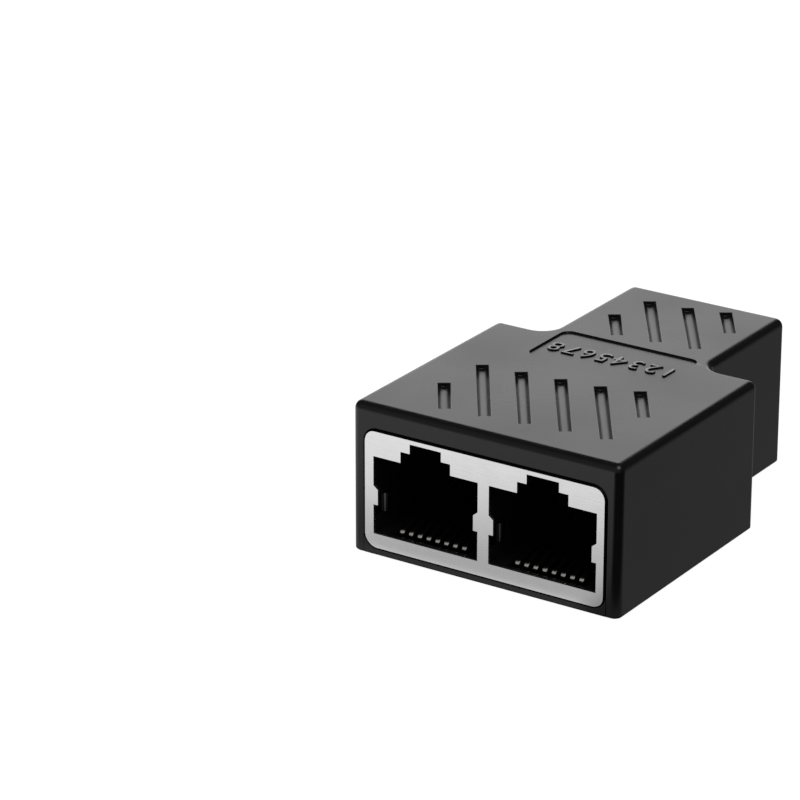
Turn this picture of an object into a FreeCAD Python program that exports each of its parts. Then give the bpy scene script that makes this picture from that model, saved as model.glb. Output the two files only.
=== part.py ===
import FreeCAD, Part

import math
import operator
import os
from types import SimpleNamespace

import Sketcher
from FreeCAD import Placement, Rotation, Vector

# T-shaped network coupler: one jack at the back, two jacks side by side at the front.
# Frame: millimetres, origin in the middle of the underside, +Y towards the single jack, +Z up.
# Jack pieces are drawn in a frame of their own: y = 0 on the housing's end face and rising
# inwards, z = 0 on the underside, x = 0 in the middle of the jack group.

DRIVING_SIZES = [
    ("body_width", 30.0, "width of the block that holds the two jacks"),
    ("body_height", 15.6, "height of the whole housing"),
    ("block_depth", 26.25, "length of the wide block"),
    ("overall_depth", 42.8, "length of the whole housing"),
    ("neck_width", 18.0, "width of the neck that holds the single jack"),
    ("edge_radius", 0.85, "round of the top rim and of the upright outer corners"),
    ("inner_corner_radius", 2.0, "round of the upright corners between block and neck"),
    ("foot_chamfer", 0.15, "broken edge round the underside"),
    ("end_wall", 1.2, "thickness of the end walls that frame the shields"),
    ("back_wall", 1.5, "thickness of the wide block's back wall"),
    ("bezel_bevel", 0.06, "bevel of the edge round each shield"),
    ("chamber_gap", 0.1, "room between a shield's tube and the housing, past the window's fit"),
    ("window_fit", 0.06, "room round a shield in its window"),
    ("cover_thickness", 0.6, "thickness of the bottom cover"),
    ("cover_gap", 0.03, "seam round the bottom cover"),
    ("recess_width", 15.5, "width of the shallow field on the top"),
    ("recess_length", 7.65, "length of the shallow field on the top"),
    ("recess_start", 19.9, "from the front face to the shallow field"),
    ("recess_depth", 0.19, "depth of the shallow field"),
    ("recess_corner", 1.0, "corner round of the shallow field"),
    ("grip_width", 1.25, "width of a round-bottomed grip channel"),
    ("grip_depth", 0.41, "depth of a grip channel"),
    ("grip_angle", 33.4, "slant of the grip channels from the long axis, in degrees"),
    ("grip_pitch", 4.2, "sideways step from one channel to the next"),
    ("grip_drift", 0.5, "lengthways step from one channel to the next"),
    ("grip_shift", 0.4, "how far the channels lie to the right of the middle"),
    ("grip_last_shift", 0.6, "how much further along its lane a group's last channel lies"),
    ("front_grip_long", 13.35, "length of the four long channels on the block"),
    ("front_grip_short", 6.65, "length of the two short channels on the block"),
    ("front_grip_middle", 9.95, "from the front face to the middle of that group"),
    ("rear_grip_long", 11.55, "length of the two long channels on the neck"),
    ("rear_grip_short", 5.85, "length of the two short channels on the neck"),
    ("rear_grip_middle", 8.1, "from the rear face to the middle of that group"),
    ("port_width", 11.9, "width of a plug opening"),
    ("port_height", 8.1, "height of a plug opening below its latch steps"),
    ("port_bottom", 2.25, "from the underside to the bottom of a plug opening"),
    ("port_pitch", 13.15, "distance between the two front openings"),
    ("latch_width", 5.65, "width of the lower latch step"),
    ("latch_rise", 1.15, "height of the lower latch step"),
    ("keyway_width", 3.55, "width of the upper latch step"),
    ("keyway_rise", 1.0, "height of the upper latch step"),
    ("tab_width", 0.5, "how far the side tabs stand into a plug opening"),
    ("tab_start", 3.05, "from the bottom of the opening to its side tabs"),
    ("tab_height", 1.6, "height of the flat part of a side tab"),
    ("tab_slope", 0.4, "height of the slanted top of a side tab"),
    ("plate_recess", 0.02, "how far a shield's face lies behind the end face"),
    ("plate_bottom", 0.7, "from the underside to a shield"),
    ("plate_height", 12.5, "height of a shield"),
    ("plate_margin", 1.075, "width of a shield's face beside a plug opening"),
    ("plate_corner", 1.5, "corner round of a shield"),
    ("fold_bevel", 0.28, "bevel of the fold between a shield's face and its sides"),
    ("sheet", 0.3, "thickness of the shields' sheet metal"),
    ("shield_length", 19.0, "length of a shield's tube"),
    ("solder_tab_width", 1.6, "width of a shield's solder tab"),
    ("solder_tab_low", 8.4, "height of the lower solder tab's middle"),
    ("solder_tab_high", 11.0, "height of the upper solder tab's middle"),
    ("spring_sheet", 0.2, "thickness of a ground spring"),
    ("spring_height", 1.9, "width of a ground spring, measured upright"),
    ("spring_bottom", 3.95, "from the underside to a ground spring"),
    ("spring_reach", 0.3, "how far a ground spring stands into the plug's space"),
    ("spring_crest", 2.25, "from the end face to a ground spring's crest"),
    ("spring_ramp", 0.5, "length of a ground spring's rise to its crest"),
    ("spring_end", 3.2, "from the end face to a ground spring's free end"),
    ("jack_fit", 0.05, "room between a jack's moulding and what it fits into"),
    ("cavity_margin", 0.05, "how much larger a plug cavity is than the shield's opening"),
    ("cavity_end", 12.9, "from the end face to the back wall of a plug cavity"),
    ("latch_end", 10.2, "from the end face to the end of the latch steps"),
    ("lip", 0.5, "thickness of the jack's floor lip in front of the contacts"),
    ("stand_off", 0.9, "room between a jack's moulding and the circuit board"),
    ("foot_size", 1.3, "side of the square feet that stand on the board"),
    ("block_end", 16.9, "from the end face to the back of a contact carrier"),
    ("carrier_round", 0.5, "round of a contact carrier's lower corners"),
    ("carrier_above_row", 0.8, "how far a contact carrier stands above its upper pin row"),
    ("tongue_top", 2.1, "from the underside to the top of a carrier's tongue"),
    ("tongue_start", 2.1, "from the end face to the front of a carrier's tongue"),
    ("tongue_margin", 0.5, "how far a carrier's tongue reaches past its outer contacts"),
    ("comb_depth", 0.8, "depth of the comb slots that guide the free ends"),
    ("comb_top", 6.3, "from the underside to the top of the comb slots"),
    ("contact_pitch", 1.02, "distance between contacts"),
    ("contact_width", 0.5, "width of a contact"),
    ("contact_thickness", 0.3, "thickness of a contact"),
    ("contact_play", 0.05, "room beside a contact in its groove"),
    ("contact_front", 1.35, "from the end face to a contact's front bend"),
    ("contact_floor", 1.6, "from the underside to a contact's lower leg"),
    ("contact_crest", 2.5, "from the underside to the start of a contact's slope"),
    ("contact_slope", 15.0, "slope of a contact's free arm, in degrees"),
    ("contact_tip", 13.4, "from the end face to a contact's free end"),
    ("contact_bend", 0.5, "outer bend radius of a contact"),
    ("riser_place", 17.5, "from the end face to a contact's riser"),
    ("front_row_low", 3.5, "height of the front jacks' lower pin row"),
    ("front_row_high", 6.04, "height of the front jacks' upper pin row"),
    ("rear_row_low", 8.3, "height of the rear jack's lower pin row"),
    ("rear_row_high", 10.84, "height of the rear jack's upper pin row"),
    ("board_thickness", 1.6, "thickness of the circuit board"),
    ("board_bottom", 1.1, "from the underside to the circuit board"),
    ("board_top", 12.8, "from the underside to the top of the circuit board"),
    ("board_side_gap", 0.15, "room beside the circuit board"),
    ("pin_play", 0.05, "room round a pin in its slot in the board"),
    ("pin_stick", 0.7, "how far pins and solder tabs stand through the board"),
    ("rib_width", 1.0, "thickness of the ribs in front of the board"),
    ("rib_top", 6.4, "height of the ribs and bosses that hold the board"),
    ("rib_bottom", 1.0, "from the underside to the ribs and bosses"),
    ("board_fit", 0.05, "room between the board and its ribs"),
    ("boss_width", 2.5, "width of a corner boss"),
    ("peg_diameter", 1.2, "diameter of a cover peg"),
    ("peg_fit", 0.04, "room round a cover peg in its boss"),
    ("peg_length", 4.0, "height of a peg above the cover"),
]
CONTACT_COUNT = 8
LONG_FRONT_GRIPS = 4
LONG_REAR_GRIPS = 2
SAME_PLACE = 1e-4

OPERATIONS = {"+": operator.add, "-": operator.sub, "*": operator.mul, "/": operator.truediv}


class Size:
    # A number kept together with the sheet expression that gives it.
    def __init__(self, value, text):
        self.value = value
        self.text = text

    def __float__(self):
        return float(self.value)

    def __add__(self, other):
        return combine(self, "+", other)

    def __radd__(self, other):
        return combine(other, "+", self)

    def __sub__(self, other):
        return combine(self, "-", other)

    def __rsub__(self, other):
        return combine(other, "-", self)

    def __mul__(self, other):
        return combine(self, "*", other)

    def __rmul__(self, other):
        return combine(other, "*", self)

    def __truediv__(self, other):
        return combine(self, "/", other)

    def __neg__(self):
        return combine(0, "-", self)


def as_size(number):
    return number if isinstance(number, Size) else Size(number, repr(number))


def combine(first, sign, second):
    first, second = as_size(first), as_size(second)
    value = OPERATIONS[sign](first.value, second.value)
    return Size(value, f"({first.text} {sign} {second.text})")


def sine(angle):
    return Size(math.sin(math.radians(angle.value)), f"sin({angle.text} * 1 deg)")


def cosine(angle):
    return Size(math.cos(math.radians(angle.value)), f"cos({angle.text} * 1 deg)")


def tangent(angle):
    return Size(math.tan(math.radians(angle.value)), f"tan({angle.text} * 1 deg)")


doc = FreeCAD.newDocument("coupler")


def write_sheet():
    sheet = doc.addObject("Spreadsheet::Sheet", "Sizes")
    for row, (alias, value, meaning) in enumerate(DRIVING_SIZES, start=1):
        sheet.set(f"A{row}", meaning)
        sheet.set(f"B{row}", str(value))
        sheet.setAlias(f"B{row}", alias)
    doc.recompute()
    names = [alias for alias, value, meaning in DRIVING_SIZES]
    return SimpleNamespace(**{name: Size(float(sheet.get(name)), f"Sizes.{name}") for name in names})


s = write_sheet()

# Places that several pieces share, each worked out from the driving sizes.
half_width = s.body_width / 2
half_depth = s.overall_depth / 2
half_neck = s.neck_width / 2
block_back = s.block_depth - half_depth
port_top = s.port_bottom + s.port_height
latch_top = port_top + s.latch_rise
keyway_top = latch_top + s.keyway_rise
plate_top = s.plate_bottom + s.plate_height
front_plate_half = (s.port_pitch + s.port_width) / 2 + s.plate_margin
rear_plate_half = s.port_width / 2 + s.plate_margin
plate_back = s.plate_recess + s.sheet
shield_end = s.plate_recess + s.shield_length
chamber_top = plate_top + s.window_fit + s.chamber_gap
front_chamber_half = front_plate_half + s.window_fit + s.chamber_gap
rear_chamber_half = rear_plate_half + s.window_fit + s.chamber_gap
moulding_bottom = s.plate_bottom + s.sheet + s.jack_fit
board_half = s.board_thickness / 2
board_front = half_depth - board_half
pin_end = half_depth + board_half + s.pin_stick
contact_half = s.contact_thickness / 2
row_reach = (CONTACT_COUNT - 1) * s.contact_pitch / 2
boss_front = board_half + s.board_fit
boss_back = block_back - s.back_wall
boss_inner = front_chamber_half - s.boss_width
peg_x = (boss_inner + front_chamber_half) / 2
peg_y = (boss_front + boss_back) / 2

PLANES = {"XY": ("XY_Plane", 1), "XZ": ("XZ_Plane", -1), "YZ": ("YZ_Plane", 1)}
X_AXIS, Y_AXIS, ORIGIN = -1, -2, -1
START, END, CENTRE = 1, 2, 3


# Bodies, sketches and features

def bind(thing, name, size):
    thing.setExpression(name, as_size(size).text)


def new_body(label, y=None, turned=False):
    # y places a jack piece's frame; turned faces it the other way, for the rear jack.
    body = doc.addObject("PartDesign::Body", label)
    body.Label = label
    if turned:
        body.Placement = Placement(Vector(0, 0, 0), Rotation(Vector(0, 0, 1), 180))
    if y is not None:
        bind(body, ".Placement.Base.y", y)
    return body


def new_sketch(body, name, plane, at=0):
    # at is where the plane lies along its own axis of the body's frame.
    role, direction = PLANES[plane]
    sketch = body.newObject("Sketcher::SketchObject", name)
    support = [feature for feature in body.Origin.OriginFeatures if feature.Role == role][0]
    sketch.AttachmentSupport = [(support, "")]
    sketch.MapMode = "FlatFace"
    bind(sketch, ".AttachmentOffset.Base.z", at * direction)
    return sketch


def place_point(sketch, item, end, x, y):
    # Ties one point of a sketch to two distances from the sketch's origin.
    for kind, axis, size in (("DistanceX", Y_AXIS, as_size(x)), ("DistanceY", X_AXIS, as_size(y))):
        if abs(size.value) < SAME_PLACE:
            sketch.addConstraint(Sketcher.Constraint("PointOnObject", item, end, axis))
            continue
        if size.value > 0:
            rule = Sketcher.Constraint(kind, ORIGIN, START, item, end, size.value)
            text = size.text
        else:
            rule = Sketcher.Constraint(kind, item, end, ORIGIN, START, -size.value)
            text = f"-{size.text}"
        index = sketch.addConstraint(rule)
        if "Sizes." in size.text:
            sketch.setExpression(f"Constraints[{index}]", text)


def polygon(sketch, points):
    corners = [Vector(float(x), float(y), 0) for x, y in points]
    first = len(sketch.Geometry)
    count = len(corners)
    lines = [Part.LineSegment(corners[i], corners[(i + 1) % count]) for i in range(count)]
    sketch.addGeometry(lines, False)
    for i in range(count):
        here, after = first + i, first + (i + 1) % count
        sketch.addConstraint(Sketcher.Constraint("Coincident", here, END, after, START))
    for i, (x, y) in enumerate(points):
        place_point(sketch, first + i, START, x, y)
    return sketch


def rectangle(sketch, x_low, x_high, y_low, y_high):
    return polygon(sketch, [(x_low, y_low), (x_high, y_low), (x_high, y_high), (x_low, y_high)])


def rounded_rectangle(sketch, x_low, x_high, y_low, y_high, radius):
    # Four arcs at the corners, each tangent to the four sides between them.
    r = float(radius)
    turns = [(x_high, y_low, -1, 1, -90), (x_high, y_high, -1, -1, 0),
             (x_low, y_high, 1, -1, 90), (x_low, y_low, 1, 1, 180)]
    centres = [(x + radius * side, y + radius * rise) for x, y, side, rise, start in turns]
    arcs = []
    for (x, y), (_, _, _, _, start) in zip(centres, turns):
        circle = Part.Circle(Vector(float(x), float(y), 0), Vector(0, 0, 1), r)
        arcs.append(Part.ArcOfCircle(circle, math.radians(start), math.radians(start + 90)))
    first = len(sketch.Geometry)
    sides = [Part.LineSegment(arcs[i].EndPoint, arcs[(i + 1) % 4].StartPoint) for i in range(4)]
    sketch.addGeometry(arcs + sides, False)
    for i in range(4):
        arc, side, after = first + i, first + 4 + i, first + (i + 1) % 4
        sketch.addConstraint(Sketcher.Constraint("Tangent", arc, END, side, START))
        sketch.addConstraint(Sketcher.Constraint("Tangent", side, END, after, START))
        place_point(sketch, arc, CENTRE, *centres[i])
        index = sketch.addConstraint(Sketcher.Constraint("Radius", arc, r))
        sketch.setExpression(f"Constraints[{index}]", as_size(radius).text)
    return sketch


def circle(sketch, x, y, diameter):
    round_edge = Part.Circle(Vector(float(x), float(y), 0), Vector(0, 0, 1), float(diameter) / 2)
    item = sketch.addGeometry(round_edge, False)
    place_point(sketch, item, CENTRE, x, y)
    index = sketch.addConstraint(Sketcher.Constraint("Diameter", item, float(diameter)))
    sketch.setExpression(f"Constraints[{index}]", as_size(diameter).text)
    return sketch


def extrude(kind, body, sketch, length, backwards, both_ways=False):
    feature = body.newObject(kind, f"{sketch.Name}_{kind.split('::')[1].lower()}")
    feature.Profile = sketch
    bind(feature, "Length", length)
    feature.Reversed = backwards
    if both_ways:
        feature.SideType = "Symmetric"
    doc.recompute()
    return feature


def pad(body, sketch, length, backwards=False, both_ways=False):
    before = body.Shape.Volume if len(body.Group) > 1 else 0
    feature = extrude("PartDesign::Pad", body, sketch, length, backwards, both_ways)
    if feature.Shape.Volume <= before:
        raise RuntimeError(f"{feature.Name} adds nothing to {body.Label}")
    return feature


def pocket(body, sketch, length, backwards=False):
    before = body.Tip.Shape.Volume
    feature = extrude("PartDesign::Pocket", body, sketch, length, backwards)
    if feature.Shape.Volume >= before:
        raise RuntimeError(f"{feature.Name} cuts nothing from {body.Label}")
    return feature


def edge_names(shape, wanted):
    return [f"Edge{i}" for i, edge in enumerate(shape.Edges, start=1) if wanted(edge)]


def across(axis, place):
    # Edges that lie wholly at one place along an axis.
    def test(edge):
        box = edge.BoundBox
        ends = [(box.XMin, box.XMax), (box.YMin, box.YMax), (box.ZMin, box.ZMax)][axis]
        return all(abs(end - float(place)) < SAME_PLACE for end in ends)
    return test


def lies_along(axis, points):
    # Straight edges along one axis through one of the points of the other two coordinates.
    others = [i for i in range(3) if i != axis]

    def test(edge):
        ends = [vertex.Point for vertex in edge.Vertexes]
        if len(ends) != 2 or any(abs(ends[0][i] - ends[1][i]) > SAME_PLACE for i in others):
            return False
        middle = edge.CenterOfMass
        return any(all(abs(middle[i] - float(place)) < SAME_PLACE for i, place in zip(others, point))
                   for point in points)
    return test


def soften(kind, body, size_name, size, wanted):
    base = body.Tip
    names = edge_names(base.Shape, wanted)
    if not names:
        raise RuntimeError(f"no edge to soften on {body.Label}")
    feature = body.newObject(kind, f"{base.Name}_{kind.split('::')[1].lower()}")
    feature.Base = (base, names)
    bind(feature, size_name, size)
    doc.recompute()
    return feature


def fillet(body, radius, wanted):
    return soften("PartDesign::Fillet", body, "Radius", radius, wanted)


def chamfer(body, size, wanted):
    return soften("PartDesign::Chamfer", body, "Size", size, wanted)


def repeat(body, feature, sketch, spacing, count):
    pattern = body.newObject("PartDesign::LinearPattern", f"{feature.Name}_row")
    pattern.Originals = [feature]
    pattern.Direction = (sketch, ["H_Axis"])
    pattern.Mode = "Spacing"
    bind(pattern, "Offset", spacing)
    pattern.Occurrences = count
    body.Tip = pattern
    doc.recompute()
    return pattern


# Housing

def tee(sketch, half_block, front, back_of_block, half_stem, rear):
    return polygon(sketch, [(-half_block, front), (half_block, front), (half_block, back_of_block),
                            (half_stem, back_of_block), (half_stem, rear), (-half_stem, rear),
                            (-half_stem, back_of_block), (-half_block, back_of_block)])


def cut_window(body, name, y, half_plate, inwards):
    # The window is open at the bottom: the cover closes it.
    half = half_plate + s.window_fit
    top = plate_top + s.window_fit
    sketch = new_sketch(body, name, "XZ", y)
    rectangle(sketch, -half, half, -s.cover_thickness, top)
    pocket(body, sketch, s.end_wall + s.chamber_gap, backwards=not inwards)
    fillet(body, s.plate_corner + s.window_fit, lies_along(1, [(half, top), (-half, top)]))
    on_face = across(1, y)

    def rim(edge):
        box = edge.BoundBox
        inside = max(abs(box.XMin), abs(box.XMax)) < float(half) + SAME_PLACE
        return on_face(edge) and inside and box.ZMax > float(s.foot_chamfer) + SAME_PLACE
    chamfer(body, s.bezel_bevel, rim)


def cut_grips(body, group, middle, long_count, long_length, short_length):
    # Parallel channels: long ones in the middle and a short one at each end, which keeps to the
    # outer half of its lane. Each channel's section is an arc of its width and depth.
    count = long_count + 2
    radius = (s.grip_width * s.grip_width / 4 + s.grip_depth * s.grip_depth) / (s.grip_depth * 2)
    for i in range(count):
        step = i - (count - 1) / 2
        x, y = s.grip_shift + s.grip_pitch * step, middle + s.grip_drift * step
        length = long_length
        if i in (0, count - 1):
            inset = (long_length - short_length) / 2
            shift = -inset if i == 0 else inset + s.grip_last_shift
            x, y = x - sine(s.grip_angle) * shift, y + cosine(s.grip_angle) * shift
            length = short_length
        channel = body.newObject("PartDesign::SubtractiveCylinder", f"{group}_grip_{i + 1}")
        channel.Placement = Placement(Vector(0, 0, 0), Rotation(float(s.grip_angle), 0, -90))
        bind(channel, "Radius", radius)
        bind(channel, "Height", length)
        bind(channel, ".Placement.Rotation.Yaw", s.grip_angle)
        bind(channel, ".Placement.Base.x", x + sine(s.grip_angle) * length / 2)
        bind(channel, ".Placement.Base.y", y - cosine(s.grip_angle) * length / 2)
        bind(channel, ".Placement.Base.z", s.body_height + radius - s.grip_depth)
    doc.recompute()


def make_upper_shell():
    body = new_body("upper_shell")
    outline = tee(new_sketch(body, "shell_outline", "XY"), half_width, -half_depth, block_back,
                  half_neck, half_depth)
    pad(body, outline, s.body_height)
    inner = lies_along(2, [(half_neck, block_back), (-half_neck, block_back)])
    fillet(body, s.inner_corner_radius, inner)
    outer_places = [(half_width, -half_depth), (half_width, block_back), (half_neck, half_depth)]
    outer_places += [(-x, y) for x, y in outer_places]
    fillet(body, s.edge_radius, lies_along(2, outer_places))
    fillet(body, s.edge_radius, across(2, s.body_height))
    chamfer(body, s.foot_chamfer, across(2, 0))

    chamber = tee(new_sketch(body, "shell_chamber", "XY"), front_chamber_half,
                  s.end_wall - half_depth, boss_back, rear_chamber_half, half_depth - s.end_wall)
    pocket(body, chamber, chamber_top, backwards=True)
    cut_window(body, "front_window", -half_depth, front_plate_half, inwards=True)
    cut_window(body, "rear_window", half_depth, rear_plate_half, inwards=False)

    field = new_sketch(body, "top_field", "XY", s.body_height)
    start = s.recess_start - half_depth
    rounded_rectangle(field, -s.recess_width / 2, s.recess_width / 2, start,
                      start + s.recess_length, s.recess_corner)
    pocket(body, field, s.recess_depth)
    cut_grips(body, "front", s.front_grip_middle - half_depth, LONG_FRONT_GRIPS,
              s.front_grip_long, s.front_grip_short)
    cut_grips(body, "rear", half_depth - s.rear_grip_middle, LONG_REAR_GRIPS,
              s.rear_grip_long, s.rear_grip_short)
    add_board_holders(body)
    return body


def add_board_holders(body):
    # Ribs stand in front of the board's edges, and drilled corner bosses behind them.
    rib_inner = front_plate_half - s.sheet + s.window_fit
    wall = front_chamber_half + s.chamber_gap
    rib_back = -board_half - s.board_fit
    height = s.rib_top - s.rib_bottom
    for side, name in ((-1, "left"), (1, "right")):
        inner, outer = (rib_inner, wall) if side > 0 else (-wall, -rib_inner)
        rib = new_sketch(body, f"{name}_rib", "XY", s.rib_bottom)
        rectangle(rib, inner, outer, rib_back - s.rib_width, rib_back)
        pad(body, rib, height)
        inner, outer = (boss_inner, wall) if side > 0 else (-wall, -boss_inner)
        boss = new_sketch(body, f"{name}_boss", "XY", s.rib_bottom)
        rectangle(boss, inner, outer, boss_front, boss_back + s.chamber_gap)
        pad(body, boss, height)
        hole = new_sketch(body, f"{name}_boss_hole", "XY", s.rib_bottom)
        circle(hole, peg_x * side, peg_y, s.peg_diameter + s.peg_fit * 2)
        pocket(body, hole, s.peg_length, backwards=True)


def cut_saddle(body, name, y, half_plate, outwards):
    # A strip across the end wall, cut out to the shield's rounded outline.
    half = half_plate + s.window_fit - s.cover_gap
    strip = new_sketch(body, f"{name}_strip", "XZ", y)
    rectangle(strip, -half, half, 0, s.plate_bottom + s.plate_corner)
    pad(body, strip, s.end_wall, backwards=outwards)
    outline = new_sketch(body, f"{name}_outline", "XZ", y)
    reach = half_plate + s.window_fit
    rounded_rectangle(outline, -reach, reach, s.plate_bottom - s.window_fit,
                      plate_top, s.plate_corner + s.window_fit)
    pocket(body, outline, s.end_wall + s.chamber_gap, backwards=not outwards)


def make_bottom_cover():
    body = new_body("bottom_cover")
    half_block = front_plate_half + s.window_fit - s.cover_gap
    half_stem = rear_plate_half + s.window_fit - s.cover_gap
    plate = new_sketch(body, "cover_outline", "XY")
    tee(plate, half_block, -half_depth, boss_back - s.cover_gap, half_stem, half_depth)
    pad(body, plate, s.cover_thickness)
    cut_saddle(body, "front_saddle", -half_depth, front_plate_half, outwards=True)
    cut_saddle(body, "rear_saddle", half_depth, rear_plate_half, outwards=False)
    for side, name in ((-1, "left"), (1, "right")):
        peg = new_sketch(body, f"{name}_peg", "XY", s.cover_thickness / 2)
        circle(peg, peg_x * side, peg_y, s.peg_diameter)
        pad(body, peg, s.cover_thickness / 2 + s.peg_length)
    chamfer(body, s.foot_chamfer, lies_along(0, [(-half_depth, 0), (half_depth, 0)]))
    return body


# Jacks. Each jack group is a record of its frame's place, port centres and pin rows.

def jack_group(name, ports, y, turned, row_low, row_high, plate_half):
    centres = {1: [0 * s.port_pitch], 2: [-s.port_pitch / 2, s.port_pitch / 2]}[len(ports)]
    return SimpleNamespace(name=name, ports=list(zip(ports, centres)), y=y, turned=turned,
                           row_low=row_low, row_high=row_high, plate_half=plate_half)


FRONT = jack_group("front", ["left", "right"], -half_depth, False, s.front_row_low,
                   s.front_row_high, front_plate_half)
REAR = jack_group("rear", ["rear"], half_depth, True, s.rear_row_low, s.rear_row_high,
                  rear_plate_half)


def jack_body(group, label):
    return new_body(label, group.y, group.turned)


def port_outline(sketch, centre):
    # The plug opening: side tabs low down, and two latch steps on top.
    half, tab = s.port_width / 2, s.port_width / 2 - s.tab_width
    tab_low = s.port_bottom + s.tab_start
    tab_high = tab_low + s.tab_height
    right = [(half, s.port_bottom), (half, tab_low), (tab, tab_low), (tab, tab_high),
             (half, tab_high + s.tab_slope), (half, port_top), (s.latch_width / 2, port_top),
             (s.latch_width / 2, latch_top), (s.keyway_width / 2, latch_top),
             (s.keyway_width / 2, keyway_top)]
    left = [(-x, z) for x, z in reversed(right)]
    return polygon(sketch, [(centre + x, z) for x, z in right + left])


def add_ground_spring(body, name, centre, side):
    # A strip folded back from the face, bowed towards the plug and out again.
    wall = s.port_width / 2 + s.spring_sheet / 2
    crest = s.port_width / 2 - s.spring_reach
    crest_start = s.spring_crest - s.spring_sheet
    outline = [(wall, plate_back - s.sheet / 2), (wall, crest_start - s.spring_ramp),
               (crest, crest_start), (crest, s.spring_crest + s.spring_sheet),
               (wall, s.spring_end)]
    outline += [(x + s.spring_sheet, y) for x, y in reversed(outline)]
    sketch = new_sketch(body, name, "XY", s.spring_bottom)
    polygon(sketch, [(centre + x * side, y) for x, y in outline])
    pad(body, sketch, s.spring_height)


def make_shield(group):
    body = jack_body(group, f"{group.name}_shield")
    half = group.plate_half
    face = new_sketch(body, f"{group.name}_face", "XZ", s.plate_recess)
    rounded_rectangle(face, -half, half, s.plate_bottom, plate_top, s.plate_corner)
    pad(body, face, s.shield_length, backwards=True)
    chamfer(body, s.fold_bevel, across(1, s.plate_recess))
    tube = new_sketch(body, f"{group.name}_tube", "XZ", plate_back)
    rounded_rectangle(tube, s.sheet - half, half - s.sheet, s.plate_bottom + s.sheet,
                      plate_top - s.sheet, s.plate_corner - s.sheet)
    pocket(body, tube, s.shield_length)
    for port, centre in group.ports:
        opening = new_sketch(body, f"{port}_opening", "XZ", 0)
        port_outline(opening, centre)
        pocket(body, opening, plate_back + s.sheet / 2)
    for port, centre in group.ports:
        for side, hand in ((-1, "near"), (1, "far")):
            add_ground_spring(body, f"{port}_{hand}_spring", centre, side)
    for side, hand in ((-1, "near"), (1, "far")):
        inner, outer = (half - s.sheet, half) if side > 0 else (-half, s.sheet - half)
        for height, level in ((s.solder_tab_low, "low"), (s.solder_tab_high, "high")):
            tab = new_sketch(body, f"{group.name}_{hand}_{level}_tab", "XZ", shield_end - s.sheet)
            rectangle(tab, inner, outer, height - s.solder_tab_width / 2,
                      height + s.solder_tab_width / 2)
            pad(body, tab, pin_end - shield_end + s.sheet, backwards=True)
    return body


def make_jack_moulding(group):
    body = jack_body(group, f"{group.name}_jack_moulding")
    inset = s.sheet + s.jack_fit
    half = group.plate_half - inset
    outline = new_sketch(body, f"{group.name}_moulding", "XZ", plate_back)
    rounded_rectangle(outline, -half, half, moulding_bottom, plate_top - inset,
                      s.plate_corner - inset)
    pad(body, outline, board_front - s.stand_off - plate_back, backwards=True)
    add_feet(body, group, half)
    beyond = board_front + s.stand_off
    cavity_half = s.port_width / 2 + s.cavity_margin
    latch_half = s.latch_width / 2 + s.cavity_margin
    keyway_half = s.keyway_width / 2 + s.cavity_margin
    tongue_half = row_reach + s.contact_width / 2 + s.tongue_margin + s.jack_fit
    spring_half = s.port_width / 2 + s.spring_sheet * 2
    for port, centre in group.ports:
        cuts = [("cavity", plate_back, s.cavity_end, cavity_half,
                 s.port_bottom - s.cavity_margin, port_top + s.cavity_margin),
                ("latch", plate_back, s.latch_end, latch_half, port_top - s.cavity_margin,
                 latch_top + s.cavity_margin),
                ("keyway", plate_back, s.latch_end, keyway_half, latch_top - s.cavity_margin,
                 plate_top),
                ("floor", plate_back + s.lip, beyond, tongue_half, 0, s.port_bottom),
                ("seat", s.cavity_end, beyond, cavity_half, 0,
                 group.row_high + s.carrier_above_row + s.jack_fit)]
        for name, start, stop, reach, low, high in cuts:
            sketch = new_sketch(body, f"{port}_{name}", "XZ", start)
            rectangle(sketch, centre - reach, centre + reach, low, high)
            pocket(body, sketch, stop - start)
        # Slots for the ground springs go right through the moulding's outer walls.
        low = -group.plate_half if port == group.ports[0][0] else centre - spring_half
        high = group.plate_half if port == group.ports[-1][0] else centre + spring_half
        slots = new_sketch(body, f"{port}_spring_slots", "XZ", plate_back)
        rectangle(slots, low, high, s.spring_bottom - s.jack_fit * 2,
                  s.spring_bottom + s.spring_height + s.jack_fit * 2)
        pocket(body, slots, s.spring_end + s.spring_sheet - plate_back)
    return body


def add_feet(body, group, half):
    # Four feet at the moulding's corners stand on the board, clear of the other side's pins.
    root = board_front - s.stand_off * 2
    low, high = moulding_bottom + s.sheet, plate_top - s.sheet - s.jack_fit
    for side, hand in ((-1, "near"), (1, "far")):
        edge = half - s.sheet
        inner, outer = (edge - s.foot_size, edge) if side > 0 else (-edge, s.foot_size - edge)
        for base, level in ((low, "low"), (high - s.sheet - s.foot_size, "high")):
            foot = new_sketch(body, f"{group.name}_{hand}_{level}_foot", "XZ", root)
            rectangle(foot, inner, outer, base, base + s.foot_size)
            pad(body, foot, board_front - root, backwards=True)


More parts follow.
